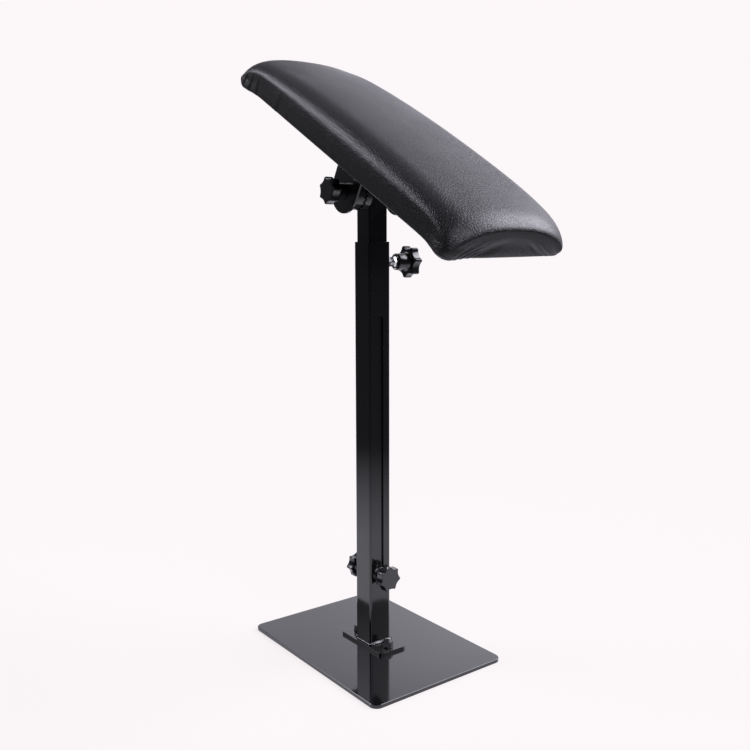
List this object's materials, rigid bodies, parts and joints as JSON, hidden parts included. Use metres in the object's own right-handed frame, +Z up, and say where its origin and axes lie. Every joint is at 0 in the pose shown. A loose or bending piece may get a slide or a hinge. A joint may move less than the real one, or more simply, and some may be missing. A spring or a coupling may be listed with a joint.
{
  "type": "tilting armrest stand",
  "caption": "Free-standing armrest: a crowned leather-covered pad tilts on a toothed joint atop a height-adjustable square post on a flat base plate.",
  "frame": {"origin": "centre of the base plate's underside, on the floor", "axes": "+Z up the post, +X the way the pad slopes down, +Y towards the height clamp knob"},
  "size_m": [0.4636, 0.22, 0.8386],
  "materials": {
    "base_paint": "gloss black enamel",
    "post_paint": "gloss black enamel",
    "joint_paint": "gloss black enamel over welded steel",
    "zinc": "bright zinc plate",
    "knob_plastic": "polished black moulding",
    "cover_leather": "soft-sheen coated leather cloth with fine grain",
    "foam": "open-cell foam",
    "board": "sanded plywood",
    "lining": "non-woven cloth"
  },
  "bodies": {
    "stand": {"base_plate": "base_paint", "foot_flange": "base_paint", "flange_screws": "base_paint", "flange_washers": "base_paint", "flange_nuts": "base_paint", "outer_tube": "post_paint", "foot_weld": "post_paint", "clamp_weld_nut": "post_paint"},
    "clamp_screw": {"clamp_stud": "zinc", "clamp_lock_nut": "zinc", "clamp_knob": "knob_plastic"},
    "inner_post": {"inner_tube": "post_paint", "slot_weld_nuts": "post_paint", "slot_washers": "zinc", "post_toothed_disc": "joint_paint", "disc_welds": "joint_paint"},
    "front_screw": {"front_slot_stud": "zinc", "front_slot_knob": "knob_plastic"},
    "rear_screw": {"rear_slot_stud": "zinc", "rear_slot_knob": "knob_plastic"},
    "pad": {"pad_toothed_boss": "joint_paint", "near_ear": "joint_paint", "far_ear": "joint_paint", "bracket_plate": "joint_paint", "ear_welds": "joint_paint", "pivot_spacer": "joint_paint", "pivot_bolt": "zinc", "pivot_washer": "zinc", "pad_board": "board", "pad_foam": "foam", "pad_cover": "cover_leather", "underside_lining": "lining", "pad_screws": "zinc", "tee_nuts": "zinc", "lining_staples": "zinc"},
    "tilt_screw": {"tilt_knob": "knob_plastic"}
  },
  "joints": [
    {"name": "height_slide", "type": "slide", "parent": "stand", "child": "inner_post", "axis": [0, 0, 1], "range_m": [-0.007, 0.362]},
    {"name": "pad_tilt", "type": "hinge", "parent": "inner_post", "child": "pad", "pos_m": [0, 0, 0.6405], "axis": [0, 1, 0], "range_deg": [-105, 45]},
    {"name": "clamp_turn", "type": "hinge", "parent": "stand", "child": "clamp_screw", "pos_m": [0, 0.05, 0.548], "axis": [0, 1, 0], "continuous": true},
    {"name": "front_knob_turn", "type": "hinge", "parent": "inner_post", "child": "front_screw", "pos_m": [0.03, 0, 0.11], "axis": [1, 0, 0], "continuous": true},
    {"name": "rear_knob_turn", "type": "hinge", "parent": "inner_post", "child": "rear_screw", "pos_m": [-0.03, 0, 0.11], "axis": [1, 0, 0], "continuous": true},
    {"name": "tilt_knob_turn", "type": "hinge", "parent": "pad", "child": "tilt_screw", "pos_m": [0, -0.06, 0.6405], "axis": [0, 1, 0], "continuous": true}
  ]
}
